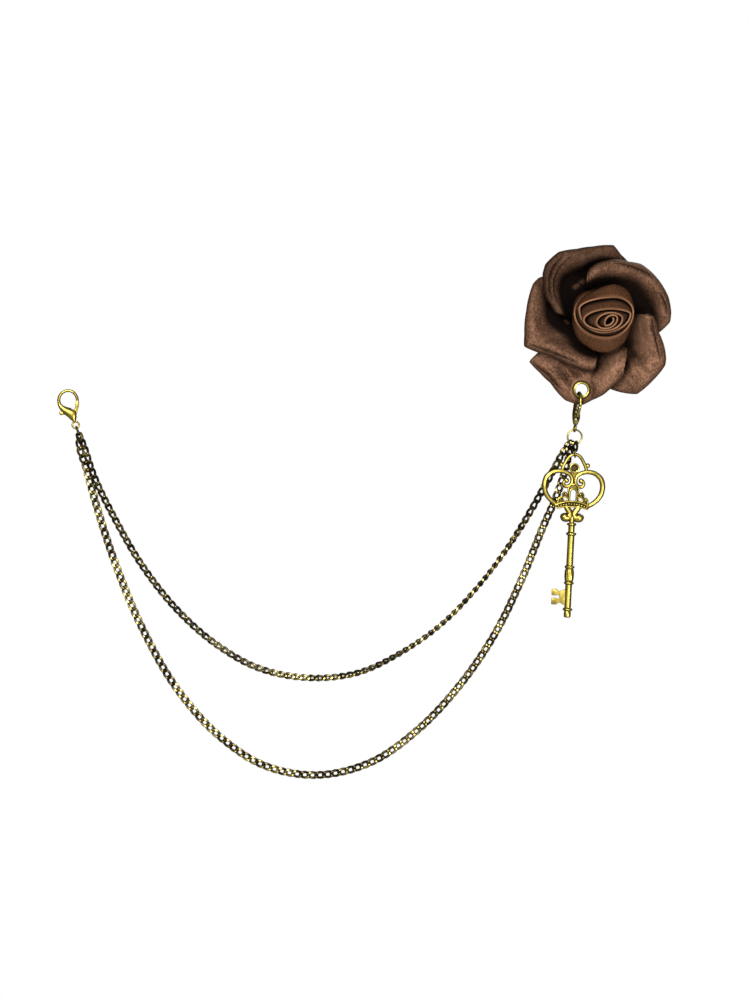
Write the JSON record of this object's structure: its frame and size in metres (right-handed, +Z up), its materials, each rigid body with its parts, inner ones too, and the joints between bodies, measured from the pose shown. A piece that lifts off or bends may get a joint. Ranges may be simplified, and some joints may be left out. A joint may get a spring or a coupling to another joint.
{
  "type": "lapel chain",
  "caption": "Lapel chain: a folded satin rose brooch that pins to a lapel, with curb chains that swag to a lobster clasp, and a crown and heart key pendant.",
  "frame": {"origin": "middle of the brooch pin's seat, at the centre of the back of the rose", "axes": "+X along the swags, from the left clasp towards the rose; +Y backwards, into the lapel; +Z up. The front faces -Y."},
  "size_m": [0.2363, 0.0216, 0.2053],
  "materials": {
    "satin": "brown satin with a fine weave and a soft sheen",
    "bud_satin": "warm brown rolled satin",
    "felt": "dark brown felt",
    "pin_steel": "plain nickel-plated steel",
    "eyelet_brass": "polished antique brass",
    "clasp_brass": "antique brass, bright on its edges",
    "key_brass": "antique brass with dark patina in its recesses",
    "old_brass": "dark bronze links with bright worn edges"
  },
  "bodies": {
    "root": {"rose_backing": "felt", "petal_top": "satin", "petal_right": "satin", "petal_lower_right": "satin", "petal_bottom": "satin", "petal_left": "satin", "bud": "bud_satin", "brooch_pin": "pin_steel", "eyelet": "eyelet_brass", "right_clasp": "clasp_brass", "jump_ring": "old_brass", "key_link_upper": "old_brass", "key_link_lower": "old_brass", "chain_upper": "old_brass", "chain_lower": "old_brass", "left_ring": "old_brass", "left_clasp": "clasp_brass"},
    "left_gate": {"left_lever": "clasp_brass"},
    "right_gate": {"right_lever": "clasp_brass"},
    "key_pendant": {"key": "key_brass"}
  },
  "joints": [
    {"name": "left_gate_hinge", "type": "hinge", "parent": "root", "child": "left_gate", "pos_m": [-0.20305, -0.002, -0.03511], "axis": [0, -1, 0], "range_deg": [0, 20], "stiffness_Nm_per_rad": 0.001, "springref_deg": -11.46},
    {"name": "right_gate_hinge", "type": "hinge", "parent": "root", "child": "right_gate", "pos_m": [-0.00906, -0.00627, -0.03625], "axis": [-0.9696, -0.2079, 0.1294], "range_deg": [0, 20], "stiffness_Nm_per_rad": 0.001, "springref_deg": -11.46},
    {"name": "key_swing", "type": "hinge", "parent": "root", "child": "key_pendant", "pos_m": [-0.00965, -0.00611, -0.05095], "axis": [1, 0, 0], "range_deg": [-75, 0]}
  ]
}
